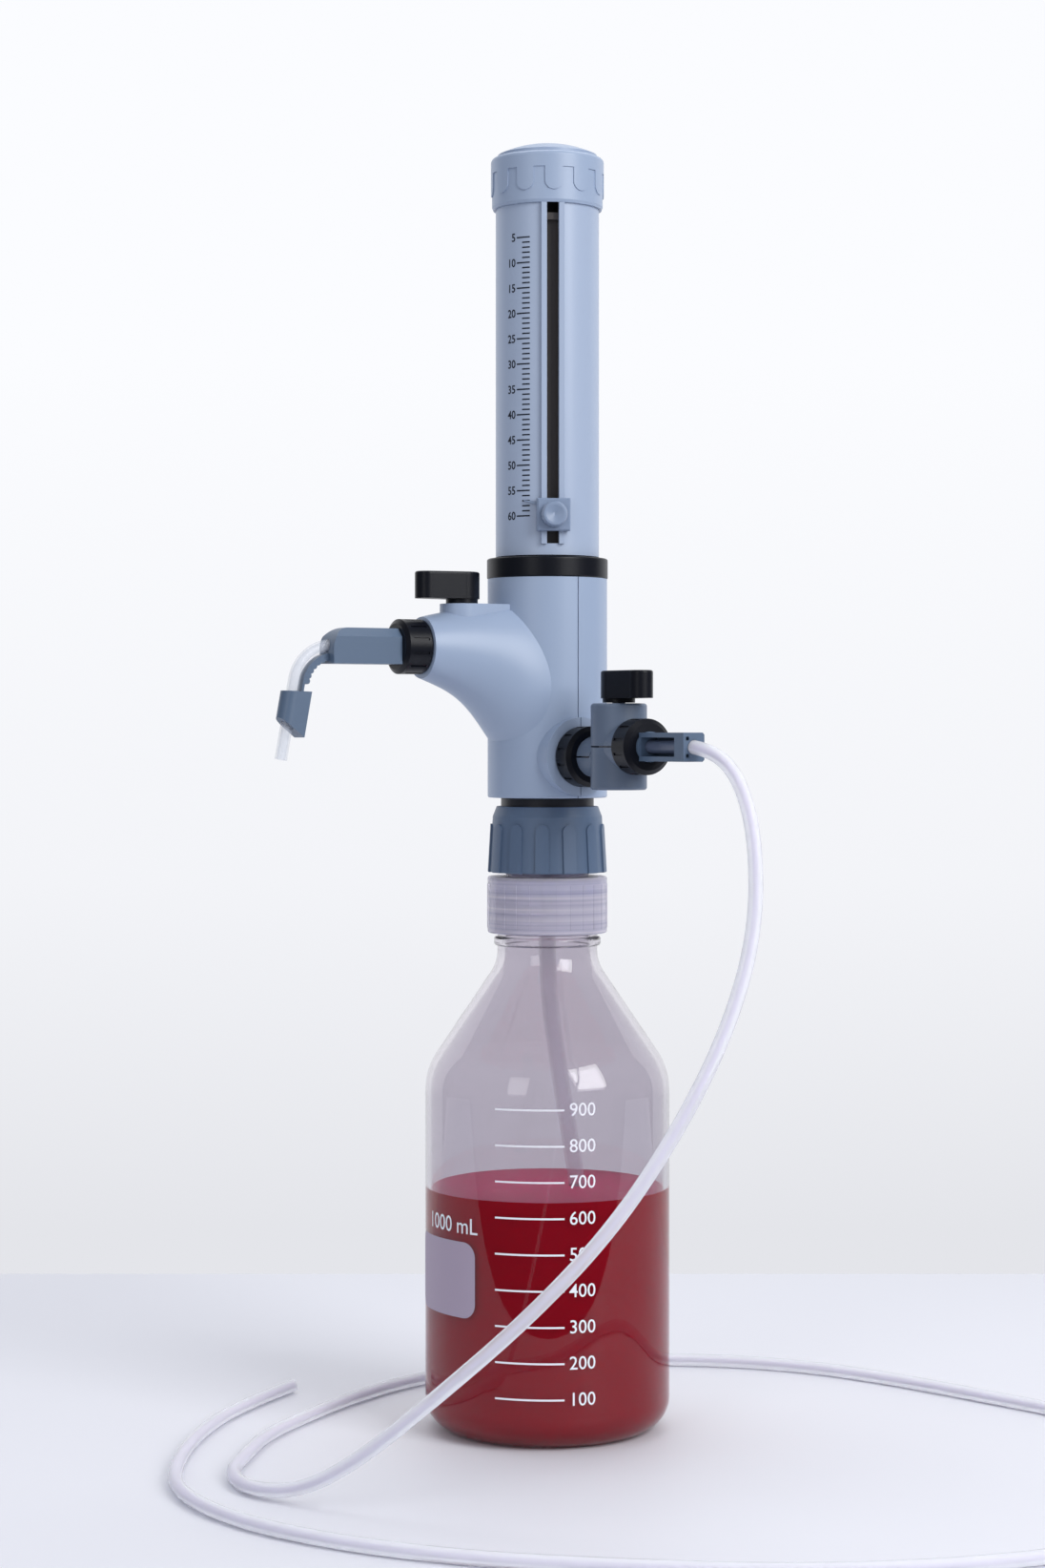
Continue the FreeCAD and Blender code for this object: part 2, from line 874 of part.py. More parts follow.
def delivery_edges(extra):
    """The delivery tube's line: straight in its holder, round the bend, and down."""
    turn = 90 - tip_lean
    start = Vector(-arm_tube_end - 0.2 + extra, 0, arm_height)
    bend_in = nozzle_point(delivery_bend, 0)
    bend_out = nozzle_point(delivery_bend, turn)
    end = bend_out + tip_way() * (tip_straight + extra)
    return [
        Part.LineSegment(start, bend_in).toShape(),
        Part.Arc(bend_in, nozzle_point(delivery_bend, turn / 2), bend_out).toShape(),
        Part.LineSegment(bend_out, end).toShape(),
    ]


def make_delivery_tube():
    return pipe(delivery_edges(0), delivery_radius).cut(pipe(delivery_edges(2), delivery_bore))


def holder_body(start, end, width, height, chamfer, place):
    """A moulded holder that is open along one side, with a round neck and flange."""
    half = width / 2
    face = Part.Face(Part.makePolygon([
        Vector(-height / 2, -half, start),
        Vector(height / 2 - chamfer, -half, start),
        Vector(height / 2, -half + chamfer, start),
        Vector(height / 2, half - chamfer, start),
        Vector(height / 2 - chamfer, half, start),
        Vector(-height / 2, half, start),
        Vector(-height / 2, -half, start),
    ]))
    solid = fused([
        face.extrude(Vector(0, 0, end - start)),
        disc(neck_stub, start - nut_web - 0.4, start + 1),
        disc(clamp_flange, start - nut_web - 0.4 - clamp_thickness, start - nut_web - 0.4),
    ])
    return moved(solid, place)


def make_nozzle_frame():
    """Holder, bead spine and tip guard, moulded as one springy piece."""
    start = arm_end + running_gap + nut_length + holder_gap
    holder = holder_body(start, holder_end, holder_width, holder_height, holder_chamfer, along_arm)
    window = block(-holder_height / 2 + holder_wall, holder_height / 2 - holder_chamfer,
                   -holder_width / 2 + holder_wall + 1.5, holder_width,
                   start + 3, holder_end - 5, along_arm)
    holder = holder.cut(window)
    top = arm_height + holder_height / 2
    corner_block = block(-holder_end - 1, -holder_end + holder_round, -holder_width, holder_width,
                         top - holder_round, top + 1)
    rounding = Part.makeCylinder(holder_round, 2 * holder_width + 2,
                                 Vector(-holder_end + holder_round, -holder_width - 1, top - holder_round),
                                 Vector(0, 1, 0))
    holder = holder.cut(corner_block.cut(rounding))
    outer = delivery_bend - delivery_radius - spine_gap
    inner = outer - spine_thickness
    first, last = 5.0, 90 - tip_lean + 1.0
    strip = ring_sector(inner, outer, first, last)
    tail = tip_way() * (guard_start + 1.0)
    beads = []
    step = (last - first) / spine_beads
    for i in range(spine_beads):
        turn = first + step * (i + 0.8)
        middle = nozzle_point(inner - spine_bead_radius * 0.6, turn) - Vector(0, spine_width / 2, 0)
        beads.append(Part.makeCylinder(spine_bead_radius, spine_width, middle, Vector(0, 1, 0)))
    leave = 90 - tip_lean
    straight = Part.Face(Part.makePolygon([
        nozzle_point(inner, leave),
        nozzle_point(outer, leave),
        nozzle_point(outer, leave) + tail,
        nozzle_point(inner, leave) + tail,
        nozzle_point(inner, leave),
    ]))
    straight.translate(Vector(0, -spine_width / 2, 0))
    straight = straight.extrude(Vector(0, spine_width, 0))
    foot = nozzle_point(delivery_bend, leave) + tip_way() * guard_start
    across = Vector(-tip_way().z, 0, tip_way().x)
    guard = Part.Face(Part.makePolygon([
        foot + across * guard_inner - tip_way() * guard_slope,
        foot - across * guard_outer + tip_way() * guard_slope,
        foot - across * guard_outer + tip_way() * guard_front,
        foot + across * guard_inner + tip_way() * guard_back,
        foot + across * guard_inner - tip_way() * guard_slope,
    ]))
    guard.translate(Vector(0, -guard_half_width, 0))
    guard = guard.extrude(Vector(0, 2 * guard_half_width, 0))
    reach = guard_back + 2 * guard_slope + 2
    round_side = Part.makeCylinder(guard_outer, reach, foot - tip_way() * (guard_slope + 1), tip_way())
    flat_side = Part.Face(Part.makePolygon([
        foot - tip_way() * (guard_slope + 1),
        foot + across * (guard_inner + 1) - tip_way() * (guard_slope + 1),
        foot + across * (guard_inner + 1) + tip_way() * reach,
        foot + tip_way() * reach,
        foot - tip_way() * (guard_slope + 1),
    ]))
    flat_side.translate(Vector(0, -guard_outer, 0))
    flat_side = flat_side.extrude(Vector(0, 2 * guard_outer, 0))
    guard = guard.common(fused([round_side, flat_side]))
    frame = fused([holder, strip, straight, guard] + beads)
    return frame.cut(pipe(delivery_edges(2), delivery_radius + 0.1))


def ring_sector(inner, outer, first, last):
    """A slice of a flat ring about the bend's centre, between two turns."""
    half_way = (first + last) / 2
    a, b = nozzle_point(inner, first), nozzle_point(inner, last)
    c, d = nozzle_point(outer, last), nozzle_point(outer, first)
    wire = Part.Wire([
        Part.Arc(a, nozzle_point(inner, half_way), b).toShape(),
        Part.LineSegment(b, c).toShape(),
        Part.Arc(c, nozzle_point(outer, half_way), d).toShape(),
        Part.LineSegment(d, a).toShape(),
    ])
    face = Part.Face(wire)
    face.translate(Vector(0, -spine_width / 2, 0))
    return face.extrude(Vector(0, spine_width, 0))


# Return valve
def make_valve_jackets():
    """The two moulded halves of the return valve, parted on a stepped line."""
    centre_y = -valve_distance
    can = turned([
        (0, valve_foot),
        (valve_radius, valve_foot, valve_edge),
        (valve_radius, valve_top, valve_edge),
        (0, valve_top),
    ], Placement(Vector(0, centre_y, 0), Rotation()))
    web_start = port_boss_end + running_gap + port_nut_length - nut_web - 0.3
    web_end = port_boss_end + running_gap + port_nut_length + 0.3
    rear_start = web_start - clamp_thickness
    front = hose_nut_start()
    solid = fused([
        can,
        disc(rear_stub_radius, web_end, valve_distance, along_port),
        disc(neck_stub, web_start - 0.1, web_end + 0.1, along_port),
        disc(clamp_flange, rear_start, web_start, along_port),
        disc(front_stub_radius, valve_distance, front - 0.3, along_hose_port),
        disc(thread_radius, valve_distance, front + hose_nut_length - nut_web - 2.4, along_hose_port),
    ])
    holes = Part.makeCompound([
        disc(jacket_bore, valve_foot + 2.4, valve_top - 2.6, None, 0, centre_y),
        disc(valve_plug_radius + running_gap, valve_top - 4, valve_top + 1, None, 0, centre_y),
        disc(core_tube + core_gap, rear_start - 1, valve_distance, along_port),
        disc(core_tube + core_gap, valve_distance, front + hose_nut_length, along_hose_port),
    ])
    solid = solid.cut(holes)
    half_gap = jacket_gap / 2
    step_rear, step_front = -valve_distance + 9.5, -valve_distance + 7.0
    wide, far = 2 * valve_radius, -hose_holder_end - 10
    halves = []
    for side in (1, -1):
        shift = half_gap * side
        limit = valve_top + 10 if side > 0 else valve_foot - 10
        region = Part.Face(Part.makePolygon([
            Vector(-wide, far, hose_port_height + shift),
            Vector(-wide, step_front, hose_port_height + shift),
            Vector(-wide, step_rear, port_height + shift),
            Vector(-wide, 0, port_height + shift),
            Vector(-wide, 0, limit),
            Vector(-wide, far, limit),
            Vector(-wide, far, hose_port_height + shift),
        ])).extrude(Vector(2 * wide, 0, 0))
        halves.append(solid.common(region))
    return halves


def make_valve_core():
    """The inert inner body with its two bores, which the plug turns in."""
    centre_y = -valve_distance
    front = hose_nut_start() + hose_nut_length
    solid = fused([
        disc(jacket_bore - core_gap, valve_foot + 2.6, valve_top - 2.8, None, 0, centre_y),
        disc(core_tube, port_tube_end + 0.1, valve_distance, along_port),
        disc(core_tube, valve_distance, front - nut_web - 2.4, along_hose_port),
        disc(1.8, valve_distance, front + 4, along_hose_port),
    ])
    holes = Part.makeCompound([
        disc(valve_plug_radius + fit_gap, valve_foot + 4.9, valve_top, None, 0, centre_y),
        disc(plug_bore, port_tube_end, valve_distance, along_port),
        disc(1.0, valve_distance, front + 5, along_hose_port),
    ])
    return solid.cut(holes)


def make_hose_holder():
    start = hose_nut_start() + hose_nut_length + holder_gap
    solid = holder_body(start, hose_holder_end, hose_holder_height, hose_holder_width, 0.8,
                        along_hose_port)
    low = -hose_holder_height / 2 + hose_holder_bar
    high = hose_holder_height / 2 - hose_holder_bar
    side = hose_holder_width / 2
    window = block(-side - 1, side - hose_holder_bar, low, high, start + 1.5,
                   hose_holder_end - hose_plate, along_hose_port)
    holes = [
        window,
        disc(hose_radius + 0.1, start - 8, hose_holder_end + 1, along_hose_port),
    ]
    for x, y in ((-2.9, 3.3), (-2.9, -3.3)):
        holes.append(block(x - 0.7, x + 0.7, y - 0.7, y + 0.7, hose_holder_end - 2,
                           hose_holder_end + 1, along_hose_port))
    return solid.cut(Part.makeCompound(holes))


def make_hose_tail():
    """The end of the hose inside its holder, pushed over the valve's nipple."""
    start = hose_nut_start() + hose_nut_length - nut_web
    return tube(hose_radius, 1.85, start, hose_holder_end - tail_gap, along_hose_port)


def make_hose():
    """The free hose: straight runs joined by arcs as large as the runs allow."""
    points = hose_route
    runs = [(b - a).Length for a, b in zip(points, points[1:])]
    radii = [0.0]
    for i in range(1, len(points) - 1):
        turn = (points[i] - points[i - 1]).getAngle(points[i + 1] - points[i])
        radii.append(0.45 * min(runs[i - 1], runs[i]) / math.tan(turn / 2))
    radii.append(0.0)
    edges = rounded_edges(points, radii, False)
    solid = pipe(edges, hose_radius)
    length = sum(e.Length for e in edges)
    section = math.pi * hose_radius ** 2
    print("hose arc radii", [round(r) for r in radii[1:-1]])
    print("hose runs", [round(r) for r in runs])
    print("hose length", round(length, 1), "volume", round(solid.Volume), "section x length",
          round(section * length))
    return solid


# Pump: lock ring, barrel, guard and piston
def make_lock_ring():
    foot = column_top + lock_seat
    inner_top = column_top + spigot_height + 0.3
    return turned([
        (spigot_radius + cup_play, foot),
        (lock_radius, foot, 0.5),
        (lock_radius, foot + lock_height, 0.9),
        (guard_radius + 0.3, foot + lock_height),
        (guard_radius + 0.3, inner_top),
        (spigot_radius + cup_play, inner_top),
    ])


def make_barrel_gasket():
    return tube(guard_bore - 0.3, 10.0, cup_floor, cup_floor + gasket_thickness - 0.5)


def make_glass_barrel():
    return tube(barrel_radius, barrel_bore, cup_floor + gasket_thickness - 0.5, barrel_top)


def stop_flange_foot():
    """The flange's underside, which the stop nut meets at the end of a set stroke."""
    return zero_line + slider_lead - slider_height / 2 + lug_height / 2


def make_barrel_guard():
    foot = cup_floor + 6.5
    flange = foot + 3.5
    stop = stop_flange_foot()
    return turned([
        (guard_bore, foot),
        (cup_radius, foot),
        (cup_radius, flange),
        (guard_radius, flange),
        (guard_radius, stop),
        (stop_flange_radius, stop),
        (stop_flange_radius, stop + stop_flange, 0.5),
        (guard_bore, stop + stop_flange),
    ])


def piston_foot():
    return cup_floor + gasket_thickness - 0.5 + 0.4


def make_piston():
    foot = piston_foot()
    shape = disc(piston_radius, foot, foot + piston_height)
    shape = shape.makeChamfer(1.0, [shape.Edges[0]])
    for i in range(seal_count):
        low = seal_foot(i)
        shape = shape.cut(tube(piston_radius + 1, seal_groove, low, low + seal_height))
    return shape


def seal_foot(i):
    return piston_foot() + 2.6 + i * (seal_height + 3.2)


def make_piston_seal(i):
    return tube(seal_radius, seal_groove, seal_foot(i), seal_foot(i) + seal_height)


def make_piston_rod():
    foot = piston_foot() + piston_height
    top = cap_top - cap_web - cap_recess
    shape = turned([
        (0, foot),
        (rod_radius, foot),
        (rod_radius, top - 3),
        (rod_radius + 4, top - 3),
        (rod_radius + 4, top),
        (0, top),
    ])
    shape = shape.cut(disc(rod_bore, foot + 4, top - 12))
    return shape.cut(disc(cap_screw_radius, top - 13, top + 1))


# Sleeve, cap and its cover
def make_sleeve():
    shape = tube(sleeve_radius, sleeve_bore, sleeve_foot, sleeve_top)
    rail_x = sleeve_radius - 1.2
    outer_x = sleeve_radius + rail_proud
    rails = []
    for side in (-1, 1):
        near = side * slot_width / 2
        far = side * (slot_width / 2 + rail_width)
        rails.append(block(rail_x, outer_x, min(near, far), max(near, far),
                           slot_foot - rail_overhang, cap_foot - cap_play, at_slot))
    shape = fused([shape] + rails)
    slot = block(sleeve_bore - 2, sleeve_radius + 5, -slot_width / 2, slot_width / 2,
                 slot_foot, cap_foot + 4, at_slot)
    return shape.cut(slot)


def make_cap():
    web_foot = cap_top - cap_web - cap_recess
    shape = turned([
        (sleeve_radius + cap_play, cap_foot),
        (cap_radius - 0.5, cap_foot),
        (cap_radius, cap_foot + 1.2),
        (cap_radius, cap_top, cap_rounding),
        (disc_radius + cap_play, cap_top),
        (disc_radius + cap_play, web_foot + cap_web),
        (cap_screw_radius + cap_play, web_foot + cap_web),
        (cap_screw_radius + cap_play, web_foot),
        (sleeve_radius + cap_play, web_foot),
    ])
    skin = tube(cap_radius + cap_proud, cap_radius - 0.6, tongue_foot - 1, cap_top - 1.0)
    middle = tongue_foot + tongue_width / 2
    tongue = fused([
        block(cap_radius - 3, cap_radius + 4, -tongue_width / 2, tongue_width / 2, middle, band_foot + 0.5),
        Part.makeCylinder(tongue_width / 2, 7, Vector(cap_radius - 3, 0, middle), Vector(1, 0, 0)),
    ])
    raised = [copy.common(skin) for copy in around(tongue, cap_tongues, tongue_turn)]
    raised.append(turned([
        (cap_radius - band_depth, band_foot),
        (cap_radius + cap_proud, band_foot),
        (cap_radius + cap_proud, cap_top, cap_rounding),
        (cap_radius - band_depth, cap_top),
    ]))
    return fused([shape] + raised)


def make_cap_disc():
    foot = cap_top - cap_recess
    rise = disc_apex - disc_rim
    dome = (disc_radius ** 2 + rise ** 2) / (2 * rise)
    middle = Vector(disc_radius * 0.6, 0, disc_apex - dome + math.sqrt(dome ** 2 - (disc_radius * 0.6) ** 2))
    start = Vector(disc_radius, 0, disc_rim)
    top = Vector(0, 0, disc_apex)
    wire = Part.Wire([
        Part.LineSegment(Vector(6, 0, foot), Vector(disc_radius, 0, foot)).toShape(),
        Part.LineSegment(Vector(disc_radius, 0, foot), start).toShape(),
        Part.Arc(start, middle, top).toShape(),
        Part.LineSegment(top, Vector(0, 0, foot + 3.4)).toShape(),
        Part.LineSegment(Vector(0, 0, foot + 3.4), Vector(6, 0, foot + 3.4)).toShape(),
        Part.LineSegment(Vector(6, 0, foot + 3.4), Vector(6, 0, foot)).toShape(),
    ])
    return Part.Face(wire).revolve(origin, up, 360)


def make_cap_screw():
    head = cap_top - cap_recess
    shape = fused([
        disc(cap_screw_head, head, head + 2.6),
        disc(cap_screw_radius - 0.05, head - cap_web - 10, head + 1),
    ])
    slot = block(-cap_screw_head, cap_screw_head, -0.5, 0.5, head + 1.6, head + 3)
    return shape.cut(slot)


# Volume stop: slider, its inner nut and its knob
def slider_top():
    return zero_line - set_volume * millilitre + slider_lead


def make_volume_slider():
    top = slider_top()
    foot = top - slider_height
    face = sleeve_radius + rail_proud + slider_gap
    half = slider_width / 2
    plate = block(face, face + slider_thickness, -half, half, foot, top)
    rims = [e for e in plate.Edges if all(abs(v.X - face - slider_thickness) < 0.01 for v in e.Vertexes)]
    plate = plate.makeChamfer(0.6, rims)
    inner = slot_width / 2 + rail_width + slider_gap
    cheeks = []
    for side in (-1, 1):
        low, high = sorted((side * inner, side * half))
        cheeks.append(block(sleeve_radius + slider_gap - 0.2, face + 0.5, low, high, foot, top))
    skin = tube(sleeve_radius + slider_gap + pointer_thickness, sleeve_radius + slider_gap, foot, top)
    tip = (sleeve_radius + slider_gap) * math.sin(math.radians(pointer_turn))
    pointer = Part.Face(Part.makePolygon([
        Vector(10, -half + 1.0, top - 2.9),
        Vector(10, -tip, top - 0.75),
        Vector(10, -tip, top - 0.45),
        Vector(10, -half + 1.0, top - 1.3),
        Vector(10, -half + 1.0, top - 2.9),
    ])).extrude(Vector(20, 0, 0)).common(skin)
    neck = block(sleeve_bore - slider_gap + 0.05, face + 1, -slot_width / 2 + slider_gap, slot_width / 2 - slider_gap,
                 foot + slider_neck_inset, top - slider_neck_inset)
    shape = fused([plate, pointer, neck] + cheeks)
    shape = shape.cut(disc(knob_screw + 0.1, 0, 60, knob_place()))
    return moved(shape, at_slot)


def knob_place():
    """Out of the sleeve through the middle of the slider."""
    middle = slider_top() - slider_height / 2
    return Placement(Vector(0, 0, middle), Rotation(up, Vector(1, 0, 0)))


def make_stop_nut():
    """The block inside the sleeve that the knob pulls against it, and the stroke's stop."""
    middle = slider_top() - slider_height / 2
    ring = tube(sleeve_bore - slider_gap, lug_clear, middle - lug_height / 2, middle + lug_height / 2)
    lug = ring.common(block(0, sleeve_radius, -lug_half_width, lug_half_width,
                            middle - lug_height, middle + lug_height))
    return moved(lug.cut(disc(knob_screw + 0.1, 0, 60, knob_place())), at_slot)


def make_slider_knob():
    start = sleeve_radius + rail_proud + slider_gap + slider_thickness + 0.3
    end = start + knob_length
    shape = turned([
        (0, start),
        (knob_radius, start, 0.3),
        (knob_radius, end - 1.4),
        (knob_radius - 0.7, end, 0.4),
        (knob_radius - 1.6, end),
        (0, end - 1.1),
    ])
    groove = block(knob_radius - 0.25, knob_radius + 1, -0.22, 0.22, start - 1, end - 1.5)
    shape = shape.cut(Part.makeCompound(around(groove, knob_grooves)))
    shape = fused([shape, disc(knob_screw, lug_clear + 0.2, start + 1)])
    return moved(moved(shape, knob_place()), at_slot)


parts["bottle"] = make_bottle()
parts["reagent"] = make_reagent()
parts["pouring_ring"] = make_pouring_ring()
parts["dip_tube"] = make_dip_tube()
parts["bottle_adapter"] = make_adapter()
parts["neck_gasket"] = make_neck_gasket()
parts["threaded_collar"] = make_collar()
parts["valve_block"] = make_valve_block()
parts["intake_seat"] = make_intake_seat()
parts["intake_ball"] = make_intake_ball()
parts["discharge_seat"] = make_discharge_seat()
parts["discharge_ball"] = make_discharge_ball()
parts["left_shell"], parts["right_shell"] = make_shells()
parts["priming_plug"] = make_priming_plug()
parts["priming_lever"] = make_priming_lever()
parts["nozzle_nut"] = make_nozzle_nut()
parts["nozzle_frame"] = make_nozzle_frame()
parts["delivery_tube"] = make_delivery_tube()
parts["port_nut"] = make_port_nut()
parts["valve_jacket_upper"], parts["valve_jacket_lower"] = make_valve_jackets()
parts["valve_core"] = make_valve_core()
parts["valve_plug"] = make_valve_plug()
parts["valve_lever"] = make_valve_lever()
parts["hose_nut"] = make_hose_nut()
parts["hose_holder"] = make_hose_holder()
parts["hose_tail"] = make_hose_tail()
parts["return_hose"] = make_hose()
parts["lock_ring"] = make_lock_ring()
parts["barrel_gasket"] = make_barrel_gasket()
parts["glass_barrel"] = make_glass_barrel()
parts["barrel_guard"] = make_barrel_guard()
parts["piston"] = make_piston()
parts["lower_seal"] = make_piston_seal(0)
parts["upper_seal"] = make_piston_seal(1)
parts["piston_rod"] = make_piston_rod()
parts["volume_sleeve"] = make_sleeve()
parts["cap"] = make_cap()
parts["cap_screw"] = make_cap_screw()
parts["cap_disc"] = make_cap_disc()
parts["volume_slider"] = make_volume_slider()
parts["stop_nut"] = make_stop_nut()
parts["slider_knob"] = make_slider_knob()

os.makedirs("parts", exist_ok=True)
for name, shape in parts.items():
    shape.exportStep("parts/" + name + ".step")
    print(name, "solids", len(shape.Solids), "volume", round(shape.Volume), "valid", shape.isValid())
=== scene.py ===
# A bottle-top dispenser on its one litre bottle, seen level against a bright wall. The
# solids come from the CAD frame; glass print, liquid, scale and hose are made here.
import json
import math

import bpy
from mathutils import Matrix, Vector

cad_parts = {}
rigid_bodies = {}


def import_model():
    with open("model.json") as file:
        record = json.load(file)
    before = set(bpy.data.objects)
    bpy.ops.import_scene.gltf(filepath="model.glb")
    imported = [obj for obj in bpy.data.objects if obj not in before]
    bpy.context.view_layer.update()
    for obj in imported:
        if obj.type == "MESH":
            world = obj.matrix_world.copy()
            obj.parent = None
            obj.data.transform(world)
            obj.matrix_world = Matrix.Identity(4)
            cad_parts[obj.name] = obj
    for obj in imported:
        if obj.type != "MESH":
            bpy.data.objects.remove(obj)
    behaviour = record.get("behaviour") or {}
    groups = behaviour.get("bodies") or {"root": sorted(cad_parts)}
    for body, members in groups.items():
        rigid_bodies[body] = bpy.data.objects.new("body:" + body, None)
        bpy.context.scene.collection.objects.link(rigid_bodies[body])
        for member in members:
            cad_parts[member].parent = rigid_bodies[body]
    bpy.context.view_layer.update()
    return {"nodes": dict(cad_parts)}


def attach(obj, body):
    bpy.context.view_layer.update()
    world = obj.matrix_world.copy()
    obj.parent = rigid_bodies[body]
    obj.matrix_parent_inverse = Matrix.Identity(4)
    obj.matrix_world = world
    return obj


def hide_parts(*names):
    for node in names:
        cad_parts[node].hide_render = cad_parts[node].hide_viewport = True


bpy.ops.object.select_all(action="DESELECT")
for old in list(bpy.data.objects):
    bpy.data.objects.remove(old)

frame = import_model()
nodes = frame["nodes"]
scene = bpy.context.scene
MM = 0.001


def new_object(name, data):
    thing = bpy.data.objects.new(name, data)
    scene.collection.objects.link(thing)
    return thing


# Materials: colours are given as sRGB hex and turned into linear ones, and every grain
# or streak lies in the piece's own coordinates.
def linear(code):
    channels = [int(code[i:i + 2], 16) / 255 for i in (0, 2, 4)]
    return [c / 12.92 if c <= 0.04045 else ((c + 0.055) / 1.055) ** 2.4 for c in channels] + [1.0]


def set_inputs(node, values):
    for name, value in values.items():
        node.inputs[name.replace("_", " ")].default_value = value


def add(tree, kind, **inputs):
    node = tree.nodes.new(kind)
    set_inputs(node, inputs)
    return node


def add_math(tree, operation, *constants):
    """A maths node whose first input is left for a link; the constants fill the rest."""
    node = tree.nodes.new("ShaderNodeMath")
    node.operation = operation
    for i, constant in enumerate(constants):
        node.inputs[i + 1].default_value = constant
    return node


def material(name, code, roughness, **inputs):
    made = bpy.data.materials.new(name)
    made.use_nodes = True
    shader = made.node_tree.nodes["Principled BSDF"]
    shader.inputs["Base Color"].default_value = linear(code)
    shader.inputs["Roughness"].default_value = roughness
    set_inputs(shader, inputs)
    return made


def grained(made, size, strength):
    """A fine moulded grain on a plastic, as a bump; the size is in millimetres."""
    tree = made.node_tree
    place = add(tree, "ShaderNodeTexCoord")
    noise = add(tree, "ShaderNodeTexNoise", Scale=1 / (size * MM), Detail=3.0)
    bump = add(tree, "ShaderNodeBump", Strength=strength, Distance=0.1 * MM)
    tree.links.new(place.outputs["Object"], noise.inputs["Vector"])
    tree.links.new(noise.outputs[0], bump.inputs["Height"])
    tree.links.new(bump.outputs["Normal"], tree.nodes["Principled BSDF"].inputs["Normal"])
    return made


def streaked(made, codes, size):
    """Level streaks of two colours, a painted light and shade of a moulded thread that shows
    through.
    """
    tree = made.node_tree
    place = add(tree, "ShaderNodeTexCoord")
    stretch = add(tree, "ShaderNodeMapping", Scale=(3.0, 3.0, 1 / (size * MM)))
    noise = add(tree, "ShaderNodeTexNoise", Scale=1.0, Detail=2.0)
    ramp = add(tree, "ShaderNodeValToRGB")
    for stop, position, code in zip(ramp.color_ramp.elements, (0.35, 0.65), codes):
        stop.position = position
        stop.color = linear(code)
    tree.links.new(place.outputs["Object"], stretch.inputs["Vector"])
    tree.links.new(stretch.outputs["Vector"], noise.inputs["Vector"])
    tree.links.new(noise.outputs[0], ramp.inputs["Fac"])
    tree.links.new(ramp.outputs["Color"], tree.nodes["Principled BSDF"].inputs["Base Color"])
    return made


clear_glass = material("clear borosilicate glass", "DCD8DF", 0.02,
                       Transmission_Weight=1.0, IOR=1.47)
red_reagent = material("deep red reagent", "A80420", 0.2, Specular_IOR_Level=0.0)
# Painted reflection: the reagent has no gloss of its own, and its top face wears this pink for
# the bright room mirrored in the liquid.
reagent_top_reflection = material("painted reflection on the reagent top", "D4025E", 0.5)
enamel = material("white fired enamel", "ECECF4", 0.5)
blue_ring = material("blue polypropylene", "1A56B0", 0.3)
milky = material("translucent polypropylene", "E2DFEC", 0.25, Transmission_Weight=0.6, IOR=1.25)
# Painted light and shade: the adapter's inner thread is not modelled, and these grey and pale
# streaks stand for it.
streaked(milky, ("C4C3D8", "F4F0F8"), 2.2)
inert = material("white fluoropolymer", "E4E4E8", 0.4)
slate = grained(material("slate blue polypropylene", "556882", 0.42), 0.6, 0.12)
shell_blue = grained(material("pale blue polypropylene", "99A9C2", 0.38), 0.7, 0.08)
sleeve_blue = grained(material("pale blue sleeve plastic", "A3B1C8", 0.36), 0.7, 0.06)
black = material("black polypropylene", "0B0E18", 0.36, Specular_IOR_Level=0.3)
grained(black, 0.5, 0.15)
dark_block = material("dark grey valve body plastic", "22242C", 0.4)
nozzle_grey = grained(material("grey blue nozzle plastic", "566981", 0.4), 0.6, 0.1)
jacket_grey = grained(material("grey blue jacket plastic", "5F6D82", 0.42), 0.6, 0.1)
slider_grey = grained(material("grey blue slider plastic", "8292AC", 0.38), 0.5, 0.1)
guard_brown = material("smoked brown guard tube", "5A5452", 0.35)
clear_tube = material("clear fluoropolymer tube", "DDE2EC", 0.12, Alpha=0.24)
clear_dip = material("clear dip tube", "D6D2E0", 0.1, Alpha=0.2)
hose_skin = material("milky clear hose", "FAFBFF", 0.2, Transmission_Weight=0.5, IOR=1.15)
hose_end = material("shaded hose end", "59637A", 0.3)
hose_core = material("lilac hose bore", "BDB4D4", 0.3)
frosted = material("frosted writing patch", "A99CB0", 0.6)
seal_black = material("black seal rubber", "1D1D20", 0.6)
ink = material("dark blue scale ink", "101828", 0.5)

# The material of each solid, from the bottle up to the cap, and smooth shading that
# keeps every edge sharper than the smoothing angle.
finishes = {
    clear_glass: ["bottle", "glass_barrel", "intake_ball", "discharge_ball"],
    blue_ring: ["pouring_ring"],
    milky: ["bottle_adapter"],
    clear_dip: ["dip_tube"],
    inert: ["intake_seat", "discharge_seat", "valve_core", "valve_plug", "priming_plug",
            "piston"],
    slate: ["threaded_collar"],
    shell_blue: ["left_shell", "right_shell", "cap", "cap_disc"],
    sleeve_blue: ["volume_sleeve"],
    black: ["lock_ring", "priming_lever", "valve_lever", "nozzle_nut", "port_nut", "hose_nut"],
    dark_block: ["valve_block", "cap_screw"],
    nozzle_grey: ["nozzle_frame", "hose_holder"],
    jacket_grey: ["valve_jacket_upper", "valve_jacket_lower"],
    slider_grey: ["volume_slider", "slider_knob", "stop_nut"],
    guard_brown: ["barrel_guard", "piston_rod"],
    clear_tube: ["delivery_tube"],
    hose_end: ["hose_tail"],
    seal_black: ["neck_gasket", "barrel_gasket", "lower_seal", "upper_seal"],
}
for made, names in finishes.items():
    for name in names:
        for slot in nodes[name].material_slots:
            slot.material = made

smoothing_angle = 32
bpy.ops.object.select_all(action="DESELECT")
for node in nodes.values():
    node.select_set(True)
bpy.context.view_layer.objects.active = nodes["bottle"]
bpy.ops.object.shade_smooth_by_angle(angle=math.radians(smoothing_angle))
bpy.ops.object.select_all(action="DESELECT")


